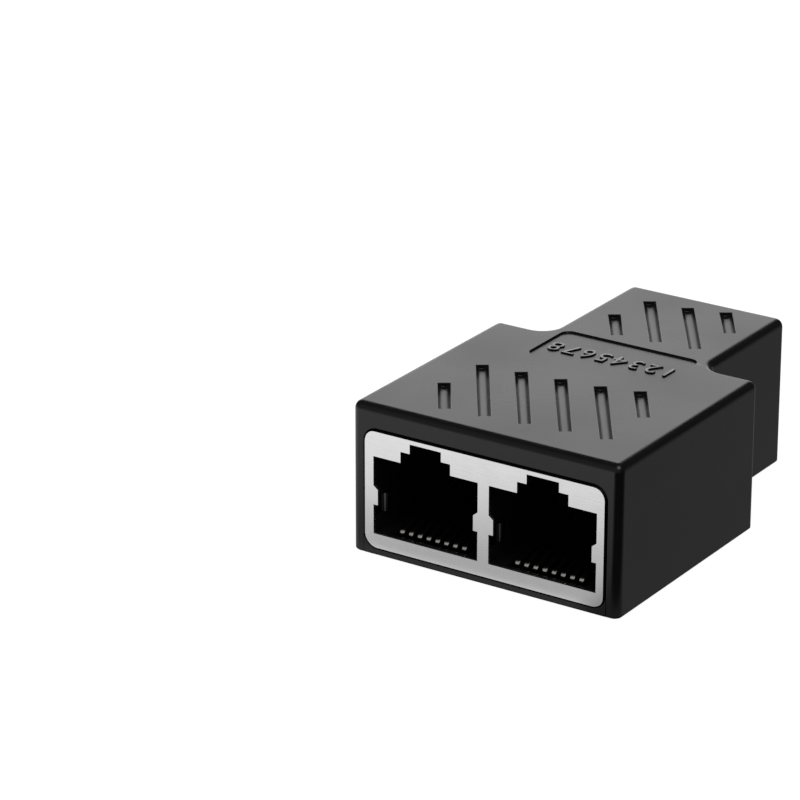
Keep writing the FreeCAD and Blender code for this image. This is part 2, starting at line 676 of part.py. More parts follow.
def make_contact_carrier(group, port, centre):
    body = jack_body(group, f"{port}_contact_carrier")
    top = group.row_high + s.carrier_above_row
    block_half = s.port_width / 2
    tongue_half = row_reach + s.contact_width / 2 + s.tongue_margin
    block = new_sketch(body, f"{port}_carrier_block", "XZ", s.cavity_end)
    rectangle(block, centre - block_half, centre + block_half, moulding_bottom, top)
    pad(body, block, s.block_end - s.cavity_end, backwards=True)
    corners = [(centre - block_half, moulding_bottom), (centre + block_half, moulding_bottom)]
    fillet(body, s.carrier_round, lies_along(1, corners))
    tongue = new_sketch(body, f"{port}_tongue", "XZ", s.tongue_start)
    rectangle(tongue, centre - tongue_half, centre + tongue_half, moulding_bottom, s.tongue_top)
    pad(body, tongue, s.cavity_end - s.tongue_start, backwards=True)
    groove_half = s.contact_width / 2 + s.contact_play
    first = centre - row_reach
    grooves = [("groove", s.tongue_start, s.block_end, s.contact_floor, s.tongue_top),
               ("comb", s.cavity_end, s.cavity_end + s.comb_depth, s.tongue_top, s.comb_top)]
    for name, start, stop, low, high in grooves:
        sketch = new_sketch(body, f"{port}_{name}", "XZ", start)
        rectangle(sketch, first - groove_half, first + groove_half, low, high)
        cut = pocket(body, sketch, stop - start)
        repeat(body, cut, sketch, s.contact_pitch, CONTACT_COUNT)
    return body


def make_contact(group, port, centre, index):
    # A flat wire bent in one plane: sloped free arm, front bend, lower leg, riser and pin.
    body = jack_body(group, f"{port}_contact_{index + 1}")
    h = contact_half
    front, riser = s.contact_front + h, s.riser_place
    leg, crest = s.contact_floor + h, s.contact_crest
    row = group.row_low if index % 2 == 0 else group.row_high
    rise = tangent(s.contact_slope)
    slant = h / cosine(s.contact_slope)
    tip = crest + (s.contact_tip - front) * rise
    bends = [(front - h, crest - h * rise + slant), (front - h, leg - h), (riser + h, leg - h),
             (riser - h, row + h)]
    outline = [(s.contact_tip, tip + slant), *bends[:3], (riser + h, row - h),
               (pin_end, row - h), (pin_end, row + h), bends[3], (riser - h, leg + h),
               (front + h, leg + h), (front + h, crest + h * rise - slant),
               (s.contact_tip, tip - slant)]
    place = centre + (index - (CONTACT_COUNT - 1) / 2) * s.contact_pitch
    sketch = polygon(new_sketch(body, f"{port}_wire_{index + 1}", "YZ", place), outline)
    pad(body, sketch, s.contact_width, both_ways=True)
    fillet(body, s.contact_bend, lies_along(0, bends))
    return body


def make_circuit_board():
    body = new_body("circuit_board")
    half = front_chamber_half - s.board_side_gap
    outline = new_sketch(body, "board_outline", "XZ", -board_half)
    rectangle(outline, -half, half, s.board_bottom, s.board_top)
    pad(body, outline, s.board_thickness, backwards=True)
    for group in (FRONT, REAR):
        # The rear group faces the other way, so its left and right change places.
        mirror = -1 if group.turned else 1
        for port, centre in group.ports:
            for row, name, start in ((group.row_low, "low", 0), (group.row_high, "high", 1)):
                step = start if mirror > 0 else 1 - start
                first = centre * mirror - row_reach + s.contact_pitch * step
                wide = s.contact_width / 2 + s.pin_play
                tall = contact_half + s.pin_play
                holes = new_sketch(body, f"{port}_{name}_holes", "XZ", -board_half)
                rectangle(holes, first - wide, first + wide, row - tall, row + tall)
                cut = pocket(body, holes, s.board_thickness)
                repeat(body, cut, holes, s.contact_pitch * 2, CONTACT_COUNT // 2)
        gap = s.board_fit
        for side in (-1, 1):
            for height, level in ((s.solder_tab_low, "low"), (s.solder_tab_high, "high")):
                slot = new_sketch(body, f"{group.name}_{level}_slot_{side + 1}", "XZ", -board_half)
                inner, outer = group.plate_half - s.sheet - gap, group.plate_half + gap
                edges = (inner, outer) if side > 0 else (-outer, -inner)
                rectangle(slot, *edges, height - s.solder_tab_width / 2 - gap,
                          height + s.solder_tab_width / 2 + gap)
                pocket(body, slot, s.board_thickness)
    return body


def build():
    pieces = [make_upper_shell(), make_bottom_cover(), make_circuit_board()]
    for group in (FRONT, REAR):
        pieces.append(make_shield(group))
        pieces.append(make_jack_moulding(group))
        for port, centre in group.ports:
            pieces.append(make_contact_carrier(group, port, centre))
            pieces += [make_contact(group, port, centre, i) for i in range(CONTACT_COUNT)]
    return pieces


def write_parts(pieces):
    doc.recompute()
    for thing in doc.Objects:
        if "Invalid" in thing.State or "Error" in thing.State:
            raise RuntimeError(f"{thing.Label} is {thing.State}")
    os.makedirs("parts", exist_ok=True)
    for piece in pieces:
        if piece.Shape.isNull() or not piece.Shape.isValid() or len(piece.Shape.Solids) != 1:
            raise RuntimeError(f"{piece.Label} isn't one sound solid")
        piece.Shape.exportStep(f"parts/{piece.Label}.step")
        print(f"{piece.Label}: {piece.Shape.Volume:.2f} cubic mm")


write_parts(build())
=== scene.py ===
import math

import bmesh
import bpy
import numpy as np
from mathutils import Matrix, Vector


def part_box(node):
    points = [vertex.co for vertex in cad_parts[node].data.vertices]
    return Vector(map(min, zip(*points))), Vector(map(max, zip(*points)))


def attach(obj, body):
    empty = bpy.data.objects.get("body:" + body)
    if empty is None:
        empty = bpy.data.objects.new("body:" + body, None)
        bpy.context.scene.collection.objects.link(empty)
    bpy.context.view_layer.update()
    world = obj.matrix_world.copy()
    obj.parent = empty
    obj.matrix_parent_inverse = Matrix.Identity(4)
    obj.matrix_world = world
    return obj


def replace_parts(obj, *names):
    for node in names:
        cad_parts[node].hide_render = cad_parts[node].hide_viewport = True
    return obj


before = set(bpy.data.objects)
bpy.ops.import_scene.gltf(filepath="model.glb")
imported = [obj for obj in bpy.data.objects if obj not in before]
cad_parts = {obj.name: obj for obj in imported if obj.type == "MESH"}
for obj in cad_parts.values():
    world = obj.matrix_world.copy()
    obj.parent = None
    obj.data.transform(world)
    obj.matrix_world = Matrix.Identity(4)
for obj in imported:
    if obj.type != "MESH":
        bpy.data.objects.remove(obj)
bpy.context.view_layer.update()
millimetre = 0.001
body = "root"


# Node and material helpers

noiseSpread = (0.3, 0.7)    # where most of a noise's values lie
wavePeriod = 0.31           # a wave texture of scale 1 repeats about this often
plainWhite = (1.0, 1.0, 1.0, 1.0)


def feed(tree, socket, value):
    # a socket takes another node's output, or else a value of its own
    if isinstance(value, bpy.types.NodeSocket):
        tree.links.new(value, socket)
    else:
        socket.default_value = value


def addNode(tree, kind, inputs=None, **settings):
    # inputs maps a socket's name or number to what feeds it
    node = tree.nodes.new(kind)
    for name, value in settings.items():
        setattr(node, name, value)
    for name, value in (inputs or {}).items():
        feed(tree, node.inputs[name], value)
    return node


def newMaterial(name, preview):
    material = bpy.data.materials.new(name)
    material.use_nodes = True
    material.diffuse_color = (*preview, 1.0)
    material.node_tree.nodes.clear()
    return material, material.node_tree


def closeMaterial(tree, shader):
    output = addNode(tree, "ShaderNodeOutputMaterial")
    tree.links.new(shader, output.inputs["Surface"])


def objectPlace(tree):
    return addNode(tree, "ShaderNodeTexCoord").outputs["Object"]


def faceNormal(tree):
    return addNode(tree, "ShaderNodeNewGeometry").outputs["True Normal"]


def axesOf(tree, vector):
    return addNode(tree, "ShaderNodeSeparateXYZ", {"Vector": vector}).outputs


def calculate(tree, operation, *values):
    node = addNode(tree, "ShaderNodeMath", dict(enumerate(values)), operation=operation)
    return node.outputs["Value"]


def noiseOf(tree, place, size, detail=2.0, roughness=0.5, stretch=(1.0, 1.0, 1.0)):
    # size is the grain's width in metres. A stretch below 1 draws it out along that axis
    mapped = addNode(tree, "ShaderNodeMapping", {"Vector": place, "Scale": stretch})
    return addNode(tree, "ShaderNodeTexNoise", {
        "Vector": mapped.outputs["Vector"], "Scale": 1.0 / size,
        "Detail": detail, "Roughness": roughness}).outputs["Fac"]


def bumpOf(tree, height, distance, under=None):
    # under is the normal of the coarser bump that this one lies on
    inputs = {"Height": height, "Distance": distance, "Strength": 1.0}
    if under is not None:
        inputs["Normal"] = under
    return addNode(tree, "ShaderNodeBump", inputs).outputs["Normal"]


def ramp(tree, value, start, end, low=0.0, high=1.0, kind="SMOOTHSTEP"):
    # low up to start and high from end on. Between them it is a soft step, or straight if LINEAR
    return addNode(tree, "ShaderNodeMapRange", {
        "Value": value, "From Min": start, "From Max": end, "To Min": low, "To Max": high},
        interpolation_type=kind).outputs["Result"]


def between(tree, noise, low, high):
    # carries a noise from its usual spread to low and high
    return ramp(tree, noise, *noiseSpread, low, high, "LINEAR")


def window(tree, value, limits):
    # rises from 0 to 1 between the first two limits, and falls again between the last two
    start, full, fade, end = limits
    rising = ramp(tree, value, start, full)
    falling = ramp(tree, value, fade, end, 1.0, 0.0)
    return calculate(tree, "MULTIPLY", rising, falling)


# A Mix node's sockets share their names, so they go by number: 2 and 3 are its values, 6 and 7
# its colours

def mixValues(tree, share, first, second):
    mix = addNode(tree, "ShaderNodeMix", {0: share, 2: first, 3: second}, data_type="FLOAT")
    return mix.outputs[0]


def mixColours(tree, share, first, second):
    first, second = [colour if isinstance(colour, bpy.types.NodeSocket) else (*colour, 1.0)
                     for colour in (first, second)]
    mix = addNode(tree, "ShaderNodeMix", {0: share, 6: first, 7: second}, data_type="RGBA")
    return mix.outputs[2]


# Housing: black plastic from a finely eroded mould

housingPlastic = {
    "darkColour": (0.0022, 0.0022, 0.0023),
    "lightColour": (0.0036, 0.0036, 0.0038),
    "gloss": (0.25, 0.32),
    "refraction": 1.42,
    "grain": 0.09 * millimetre,
    "grainHeight": 0.0022 * millimetre,
    "ripple": 5.0 * millimetre,
    "rippleHeight": 0.004 * millimetre,
    "cloud": 12.0 * millimetre,
    # painted highlight: from this upward part of a normal on, a face is painted lighter
    "topHighlightFrom": (0.80, 0.95),
}


def makeHousingPlastic(name, paintedTopHighlight=None):
    # The top colour, where given, is a painted highlight: flats facing upward, as on raised numbers,
    # are painted lighter as if lit from above. A face counts as such a flat once its normal's upward
    # part is past the given threshold
    finish = housingPlastic
    material, tree = newMaterial(name, finish["lightColour"])
    place = objectPlace(tree)
    grain = noiseOf(tree, place, finish["grain"], detail=3.0, roughness=0.6)
    ripple = noiseOf(tree, place, finish["ripple"], detail=1.0)
    cloud = noiseOf(tree, place, finish["cloud"], detail=4.0)
    colour = mixColours(tree, grain, finish["darkColour"], finish["lightColour"])
    # painted highlight on the upward flats
    if paintedTopHighlight:
        upward = axesOf(tree, faceNormal(tree))["Z"]
        colour = mixColours(tree, ramp(tree, upward, *finish["topHighlightFrom"]), colour, paintedTopHighlight)
    rippled = bumpOf(tree, ripple, finish["rippleHeight"])
    shader = addNode(tree, "ShaderNodeBsdfPrincipled", {
        "Base Color": colour,
        "Roughness": between(tree, cloud, *finish["gloss"]),
        "IOR": finish["refraction"],
        "Normal": bumpOf(tree, grain, finish["grainHeight"], rippled)})
    closeMaterial(tree, shader.outputs["BSDF"])
    return material


# Jacks: smoother black plastic, lightly drawn along the mould's pull

jackPlastic = {
    "darkColour": (0.002, 0.002, 0.002),
    "lightColour": (0.004, 0.004, 0.0042),
    "gloss": (0.38, 0.48),
    "refraction": 1.5,
    "grain": 0.12 * millimetre,
    "grainStretch": (1.0, 0.2, 1.0),
    "grainHeight": 0.002 * millimetre,
}


def makeJackPlastic():
    finish = jackPlastic
    material, tree = newMaterial("jackPlastic", finish["lightColour"])
    grain = noiseOf(tree, objectPlace(tree), finish["grain"], stretch=finish["grainStretch"])
    shader = addNode(tree, "ShaderNodeBsdfPrincipled", {
        "Base Color": mixColours(tree, grain, finish["darkColour"], finish["lightColour"]),
        "Roughness": between(tree, grain, *finish["gloss"]),
        "IOR": finish["refraction"],
        "Normal": bumpOf(tree, grain, finish["grainHeight"])})
    closeMaterial(tree, shader.outputs["BSDF"])
    return material


# Shields: nickel-plated sheet with the faint lines of its rolling. Its upper and right-hand bends
# are painted dark as a shadow line, and the sheet within the jacks is painted dark as shade, while a
# narrow strip of the ground springs is painted lighter again as a highlight. Where the painted shade
# starts within the jacks and where the highlight's strip lies are distances from the object's middle
# along Y

shieldMetal = {
    "darkColour": (0.75, 0.75, 0.75),
    "lightColour": (0.83, 0.83, 0.83),
    "gloss": (0.24, 0.34),
    "line": 0.05 * millimetre,
    "lineStretch": (0.02, 0.02, 1.0),
    "lineHeight": 0.0006 * millimetre,
    "cloud": 1.6 * millimetre,
    # painted shade: the dark of the bends and of the sheet within the jacks, and where that shade
    # starts along Y
    "paintedShadeColour": (0.014, 0.014, 0.014),
    "insideShadeFrom": (20.8 * millimetre, 21.0 * millimetre),
    # where the painted shadow line lies: a normal's part along Y, and its parts to the right and
    # upwards
    "slant": (0.25, 0.35, 0.90, 0.97),
    "slantSide": (-0.45, -0.10),
    # painted highlight: the strip across the ground springs that is painted lighter again, and by
    # how much
    "springHighlight": (19.50 * millimetre, 19.54 * millimetre, 19.60 * millimetre, 19.64 * millimetre),
    "springHighlightShare": 0.18,
}


def paintedShadeShare(tree, place):
    # painted shade: how much of the dark paint a point gets, as a shadow line on the bends and as
    # shade within the jacks, less on the springs' painted highlight. A bend's normal has a part
    # within slant along Y, and its parts to the right and upwards add up to more than slantSide
    finish = shieldMetal
    away = calculate(tree, "ABSOLUTE", axesOf(tree, place)["Y"])
    turnX, turnY, turnZ = axesOf(tree, faceNormal(tree))
    lean = calculate(tree, "ABSOLUTE", turnY)
    upRight = calculate(tree, "ADD", turnX, turnZ)
    # painted shadow line along the upper and right-hand bends
    bend = calculate(tree, "MULTIPLY", window(tree, lean, finish["slant"]),
                     ramp(tree, upRight, *finish["slantSide"]))
    # painted shade within the jacks
    inside = ramp(tree, away, *finish["insideShadeFrom"], 1.0, 0.0)
    # the springs' painted highlight takes back part of the painted shade
    shadeLeftByHighlight = calculate(tree, "MULTIPLY_ADD", window(tree, away, finish["springHighlight"]),
                     -finish["springHighlightShare"], 1.0)
    return calculate(tree, "MULTIPLY", calculate(tree, "MAXIMUM", inside, bend), shadeLeftByHighlight)


def makeShieldMetal():
    finish = shieldMetal
    material, tree = newMaterial("shieldMetal", finish["lightColour"])
    place = objectPlace(tree)
    lines = noiseOf(tree, place, finish["line"], detail=3.0, stretch=finish["lineStretch"])
    cloud = noiseOf(tree, place, finish["cloud"], detail=3.0)
    plating = mixColours(tree, cloud, finish["darkColour"], finish["lightColour"])
    # the plating mixed with painted shade
    shader = addNode(tree, "ShaderNodeBsdfPrincipled", {
        "Base Color": mixColours(tree, paintedShadeShare(tree, place), plating, finish["paintedShadeColour"]),
        "Metallic": 1.0,
        "Roughness": between(tree, lines, *finish["gloss"]),
        "Normal": bumpOf(tree, lines, finish["lineHeight"])})
    closeMaterial(tree, shader.outputs["BSDF"])
    return material


# Contacts: plated wire, painted dark as shade but for a painted glint, a bright stripe across its
# front bend. The glint's limits are heights above the underside

contactMetal = {
    "darkColour": (0.74, 0.72, 0.68),
    "lightColour": (0.88, 0.86, 0.82),
    "gloss": (0.30, 0.38),
    "line": 0.03 * millimetre,
    "lineStretch": (1.0, 0.05, 0.05),
    "lineHeight": 0.0002 * millimetre,
    # painted shade: the wire's colour outside its painted glint
    "paintedShadeColour": (0.050, 0.048, 0.045),
    # painted glint: the heights where the front bend is painted bright
    "glintHeights": (2.30 * millimetre, 2.42 * millimetre, 2.50 * millimetre, 2.62 * millimetre),
}


def makeContactMetal():
    finish = contactMetal
    material, tree = newMaterial("contactMetal", finish["lightColour"])
    place = objectPlace(tree)
    lines = noiseOf(tree, place, finish["line"], stretch=finish["lineStretch"])
    # painted glint across the front bend, with painted shade above and below it
    glintStripe = window(tree, axesOf(tree, place)["Z"], finish["glintHeights"])
    plating = mixColours(tree, lines, finish["darkColour"], finish["lightColour"])
    shader = addNode(tree, "ShaderNodeBsdfPrincipled", {
        "Base Color": mixColours(tree, glintStripe, finish["paintedShadeColour"], plating),
        "Metallic": 1.0,
        "Roughness": between(tree, lines, *finish["gloss"]),
        "Normal": bumpOf(tree, lines, finish["lineHeight"])})
    closeMaterial(tree, shader.outputs["BSDF"])
    return material


# Circuit board: green mask over the weave of its glass cloth

boardMask = {
    "darkColour": (0.010, 0.085, 0.035),
    "lightColour": (0.022, 0.150, 0.065),
    "gloss": (0.22, 0.34),
    "coat": 0.3,
    "weave": 0.9 * millimetre,
    "weaveHeight": 0.004 * millimetre,
    "waviness": 0.4,
}


def makeBoardMask():
    finish = boardMask
    material, tree = newMaterial("boardMask", finish["lightColour"])
    place = objectPlace(tree)
    threads = [addNode(tree, "ShaderNodeTexWave", {
        "Vector": place, "Scale": wavePeriod / finish["weave"], "Distortion": finish["waviness"]},
        wave_type="BANDS", bands_direction=direction).outputs["Fac"] for direction in "XZ"]
    weave = calculate(tree, "MULTIPLY", *threads)
    shader = addNode(tree, "ShaderNodeBsdfPrincipled", {
        "Base Color": mixColours(tree, weave, finish["darkColour"], finish["lightColour"]),
        "Roughness": between(tree, weave, *finish["gloss"]),
        "Coat Weight": finish["coat"],
        "Normal": bumpOf(tree, weave, finish["weaveHeight"])})
    closeMaterial(tree, shader.outputs["BSDF"])
    return material


materials = {
    "housing_plastic": makeHousingPlastic("housingPlastic"),
    "jack_plastic": makeJackPlastic(),
    "shield_metal": makeShieldMetal(),
    "contact_metal": makeContactMetal(),
    "board": makeBoardMask(),
}
print("materials:", ", ".join(materials))


# Mesh helpers

def pieceFromMesh(name, mesh, slotName, material=None):
    # material is one of the piece's own, in place of its slot's
    piece = bpy.data.objects.new(name, mesh)
    bpy.context.scene.collection.objects.link(piece)
    mesh.materials.clear()
    mesh.materials.append(material or materials[slotName])
    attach(piece, body)
    return piece


def dressNode(nodeName, slotName):
    # a CAD node that keeps its own mesh takes the finish of its slot
    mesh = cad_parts[nodeName].data
    mesh.materials.clear()
    mesh.materials.append(materials[slotName])


def readRows(items, name, width, kind=float):
    # one property of all of a mesh's vertices, corners or faces, as an array of rows
    rows = np.empty(len(items) * width, kind)
    items.foreach_get(name, rows)
    return rows.reshape(-1, width)


def smoothArcs(mesh, sharpDegrees):
    # edges that turn by more than sharpDegrees stay sharp
    mesh.shade_smooth()
    mesh.set_sharp_from_angle(angle=math.radians(sharpDegrees))


# Housing, cover, shields and mouldings

skinMesh = {
    "sameSpot": 0.001 * millimetre,
    "flatDegrees": 0.5,
    "edgeSegments": 2,
}
shellEdges = {"edgeWidth": 0.05 * millimetre, "sharpDegrees": 35.0}
shieldEdges = {"edgeWidth": 0.03 * millimetre, "sharpDegrees": 30.0}


def makeSkin(nodeName, slotName, edgeWidth, sharpDegrees, reshape=None):
    # a copy of a node's mesh with its doubles merged, flat faces joined and arcs shaded smooth.
    # Its sharp edges are broken by edgeWidth
    size = skinMesh
    name = f"{nodeName}_skin"
    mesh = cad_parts[nodeName].data.copy()
    shape = bmesh.new()
    shape.from_mesh(mesh)
    bmesh.ops.remove_doubles(shape, verts=shape.verts, dist=size["sameSpot"])
    bmesh.ops.dissolve_limit(shape, angle_limit=math.radians(size["flatDegrees"]),
                             verts=shape.verts, edges=shape.edges)
    shape.to_mesh(mesh)
    shape.free()
    if reshape:
        reshape(mesh)
    mesh.name = name
    smoothArcs(mesh, sharpDegrees)
    piece = pieceFromMesh(name, mesh, slotName)
    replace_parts(piece, nodeName)
    bevel = piece.modifiers.new("brokenEdges", "BEVEL")
    bevel.width = edgeWidth
    bevel.segments = size["edgeSegments"]
    bevel.limit_method = "ANGLE"
    bevel.angle_limit = math.radians(sharpDegrees)
    bevel.use_clamp_overlap = True
    weight = piece.modifiers.new("flatsStayFlat", "WEIGHTED_NORMAL")
    weight.keep_sharp = True


plateFold = {
    "width": 0.20 * millimetre,
    "fadeOver": 0.85,
    "slant": (-0.9, -0.3),
    "faceDepth": 0.001 * millimetre,
}


def drawOutPlate(mesh):
    # the plate's fold is narrower at the left and the bottom than at the top and the right, as if
    # pressed flatter there. A corner of its face moves outward along the outline's normal n by
    # width * (3 s^2 - 2 s^3), where s is the larger of -nx and -nz over fadeOver, within 0 to 1.
    # n is the sum of the normals of the fold's slanted faces at that corner, laid into the face
    size = plateFold
    places = readRows(mesh.vertices, "co", 3)
    facing = readRows(mesh.polygons, "normal", 3)
    cornerCounts = readRows(mesh.polygons, "loop_total", 1, int)[:, 0]
    corners = readRows(mesh.loops, "vertex_index", 1, int)[:, 0]
    facing = np.repeat(facing, cornerCounts, axis=0)
    steep, shallow = size["slant"]
    slanted = (facing[:, 1] > steep) & (facing[:, 1] < shallow)
    outward = np.zeros_like(places)
    np.add.at(outward, corners[slanted], facing[slanted] * (1.0, 0.0, 1.0))
    length = np.linalg.norm(outward, axis=1, keepdims=True)
    outward /= np.where(length > 0.0, length, 1.0)
    share = np.clip(np.max(-outward[:, [0, 2]], axis=1) / size["fadeOver"], 0.0, 1.0)
    share[places[:, 1] >= places[:, 1].min() + size["faceDepth"]] = 0.0
    places += (size["width"] * share ** 2 * (3.0 - 2.0 * share))[:, None] * outward
    mesh.vertices.foreach_set("co", places.ravel())
    mesh.update()


makeSkin("upper_shell", "housing_plastic", **shellEdges)
makeSkin("front_shield", "shield_metal", **shieldEdges, reshape=drawOutPlate)
makeSkin("rear_shield", "shield_metal", **shieldEdges)
dressNode("bottom_cover", "housing_plastic")
dressNode("circuit_board", "board")
for nodeName in ("front_jack_moulding", "rear_jack_moulding", "left_contact_carrier",
                 "right_contact_carrier", "rear_contact_carrier"):
    dressNode(nodeName, "jack_plastic")
print("housing and jacks dressed")


# Contacts: flat wire with rounded corners, carried along its bent path

contact = {
    "width": 0.5 * millimetre,
    "thickness": 0.3 * millimetre,
    "cornerRound": 0.09 * millimetre,
    "bendRadius": 0.36 * millimetre,
    "slopeDegrees": 15.0,
    "frontToTip": 11.9 * millimetre,
    "frontToRiser": 16.0 * millimetre,
    "legToCrest": 0.75 * millimetre,
    "count": 8,
    "arcSteps": 9,
    "cornerSteps": 5,
    "sharpDegrees": 50.0,
}

# the heights of each jack's lower and upper pin row
pinRows = {
    "left": (3.5 * millimetre, 6.04 * millimetre),
    "right": (3.5 * millimetre, 6.04 * millimetre),
    "rear": (8.3 * millimetre, 10.84 * millimetre),
}


def wireProfile(width, thickness, cornerRound, steps):
    # a rounded rectangle: each corner's centre plus the round times (cos a, sin a), a quarter turn
    # each, corner after corner
    turn = np.linspace(0.0, math.pi / 2, steps)[None, :] + (np.arange(4) * math.pi / 2)[:, None]
    signs = np.array([[1, 1], [-1, 1], [-1, -1], [1, -1]])[:, None, :]
    centres = signs * (np.array([width, thickness]) / 2 - cornerRound)
    ring = centres + cornerRound * np.stack([np.cos(turn), np.sin(turn)], axis=-1)
    return ring.reshape(-1, 2)


def bentPath(corners, radius, steps):
    # straight runs joined by tangent arcs. With unit directions d and e before and after a corner
    # that turns by t, the arc starts radius * tan(t / 2) before it, and at angle a its point is
    # start + radius * (sin a * d + (1 - cos a) * n), where n = (e - cos t * d) / sin t
    runs = np.diff(corners, axis=0)
    directions = runs / np.linalg.norm(runs, axis=1, keepdims=True)
    before, after = directions[:-1, None, :], directions[1:, None, :]
    turn = np.arccos(np.sum(before * after, axis=-1, keepdims=True))
    inward = (after - np.cos(turn) * before) / np.sin(turn)
    start = corners[1:-1, None, :] - radius * np.tan(turn / 2) * before
    angle = turn * np.linspace(0.0, 1.0, steps)[None, :, None]
    points = start + radius * (np.sin(angle) * before + (1.0 - np.cos(angle)) * inward)
    headings = np.cos(angle) * before + np.sin(angle) * inward
    points = np.concatenate([corners[:1], points.reshape(-1, 2), corners[-1:]])
    headings = np.concatenate([directions[:1], headings.reshape(-1, 2), directions[-1:]])
    return points, headings


def sweptMesh(name, centreX, points, headings, ring):
    # vertex (i, j) = path point i + ring's across-share j along x + its other share along the
    # path's side direction, which is the heading turned by a quarter
    sides = np.stack([-headings[:, 1], headings[:, 0]], axis=-1)
    count, around = len(points), len(ring)
    grid = np.empty((count, around, 3))
    grid[:, :, 0] = centreX + ring[None, :, 0]
    grid[:, :, 1:] = points[:, None, :] + ring[None, :, 1:] * sides[:, None, :]
    i, j = np.meshgrid(np.arange(count - 1), np.arange(around), indexing="ij")
    after = (j + 1) % around
    quads = np.stack([i * around + j, i * around + after, (i + 1) * around + after,
                      (i + 1) * around + j], axis=-1).reshape(-1, 4)
    startCap = list(range(around))[::-1]
    endCap = list(range((count - 1) * around, count * around))
    mesh = bpy.data.meshes.new(name)
    mesh.from_pydata(grid.reshape(-1, 3), [], quads.tolist() + [startCap, endCap])
    mesh.validate()
    return mesh


def facesOutward(mesh):
    shape = bmesh.new()
    shape.from_mesh(mesh)
    bmesh.ops.recalc_face_normals(shape, faces=shape.faces)
    shape.to_mesh(mesh)
    shape.free()


def makeContact(port, index):
    # from the free tip down the slope, round the front bend, back along the floor and up the riser
    # to the pin, which is in the lower row for odd numbers and in the upper one for even ones
    size = contact
    nodeName = f"{port}_contact_{index}"
    low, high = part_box(nodeName)
    half = size["thickness"] / 2
    inwards = -1.0 if port == "rear" else 1.0
    front, pinEnd = (high.y, low.y) if port == "rear" else (low.y, high.y)
    front += inwards * half
    leg = low.z + half
    crest = leg + size["legToCrest"]
    row = pinRows[port][(index - 1) % 2]
    tip = front + inwards * size["frontToTip"]
    riser = front + inwards * size["frontToRiser"]
    rise = size["frontToTip"] * math.tan(math.radians(size["slopeDegrees"]))
    corners = np.array([[tip, crest + rise], [front, crest], [front, leg], [riser, leg],
                        [riser, row], [pinEnd, row]])
    points, headings = bentPath(corners, size["bendRadius"], size["arcSteps"])
    ring = wireProfile(size["width"], size["thickness"], size["cornerRound"], size["cornerSteps"])
    name = f"{port}_contact_wire_{index}"
    mesh = sweptMesh(name, (low.x + high.x) / 2, points, headings, ring)
    facesOutward(mesh)
    smoothArcs(mesh, size["sharpDegrees"])
    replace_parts(pieceFromMesh(name, mesh, "contact_metal"), nodeName)


for port in pinRows:
    for index in range(1, contact["count"] + 1):
        makeContact(port, index)
print("contacts made:", len(pinRows) * contact["count"])


# Numbers raised in the top's shallow field, read from the single jack's side

numbers = {
    "text": "12345678",
    "capHeight": 2.1 * millimetre,
    "firstToLast": 12.9 * millimetre,
    "middleX": 0.15 * millimetre,
    "middleY": 1.9 * millimetre,
    "fieldDepth": 0.19 * millimetre,
    "relief": 0.14 * millimetre,
    "edgeRound": 0.04 * millimetre,
    "edgeSteps": 2,
    "outlineSteps": 8,
    "thinning": 0.03 * millimetre,
    "sameSpot": 0.0005 * millimetre,
    "sharpDegrees": 35.0,
    # painted highlight on the numbers' upward faces
    "paintedTopHighlight": (0.11, 0.11, 0.11),
}


def digitMesh(character, size):
    # Blender's own font: an outline drawn in by the thinning, raised by the relief, its edge
    # rounded by a small bevel. It is first set at size 1, to measure how tall the digit is
    curve = bpy.data.curves.new("digit", "FONT")
    curve.body = character
    curve.align_x = "CENTER"
    curve.size = 1.0
    curve.resolution_u = size["outlineSteps"]
    plain = bpy.data.objects.new("digit", curve)
    bpy.context.scene.collection.objects.link(plain)
    bpy.context.view_layer.update()
    curve.size = size["capHeight"] / plain.dimensions.y
    curve.extrude = size["relief"] / 2 - size["edgeRound"]
    curve.bevel_depth = size["edgeRound"]
    curve.bevel_resolution = size["edgeSteps"]
    curve.offset = -size["thinning"]
    bpy.context.view_layer.update()
    graph = bpy.context.evaluated_depsgraph_get()
    mesh = bpy.data.meshes.new_from_object(plain.evaluated_get(graph))
    bpy.data.objects.remove(plain)
    return mesh


def makeNumbers():
    size = numbers
    shape = bmesh.new()
    half = size["firstToLast"] / 2
    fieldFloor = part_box("upper_shell")[1].z - size["fieldDepth"]
    halfTurn = Matrix.Rotation(math.pi, 4, "Z")
    for character, x in zip(size["text"], np.linspace(half, -half, len(size["text"]))):
        mesh = digitMesh(character, size)
        corners = readRows(mesh.vertices, "co", 3)
        middle = (corners.min(0) + corners.max(0)) / 2
        turned = halfTurn @ Matrix.Translation(-Vector(middle))
        place = Vector((size["middleX"] + x, size["middleY"], fieldFloor + size["relief"] / 2))
        mesh.transform(Matrix.Translation(place) @ turned)
        shape.from_mesh(mesh)
    bmesh.ops.remove_doubles(shape, verts=shape.verts, dist=size["sameSpot"])
    bmesh.ops.recalc_face_normals(shape, faces=shape.faces)
    mesh = bpy.data.meshes.new("field_numbers")
    shape.to_mesh(mesh)
    shape.free()
    smoothArcs(mesh, size["sharpDegrees"])
    # the numbers' plastic carries the painted highlight on their tops
    pieceFromMesh("field_numbers", mesh, "housing_plastic",
                  makeHousingPlastic("numberPlastic", size["paintedTopHighlight"]))


makeNumbers()
print("numbers made")


# Floor, light and camera

studio = {
    "floorColour": (0.82, 0.82, 0.82),
    "floorSize": 3.0,
    "floorBelow": 0.02 * millimetre,
    "whiteShare": 0.90,
    "whiteGlow": 1.06,
    "ambient": 0.45,
}

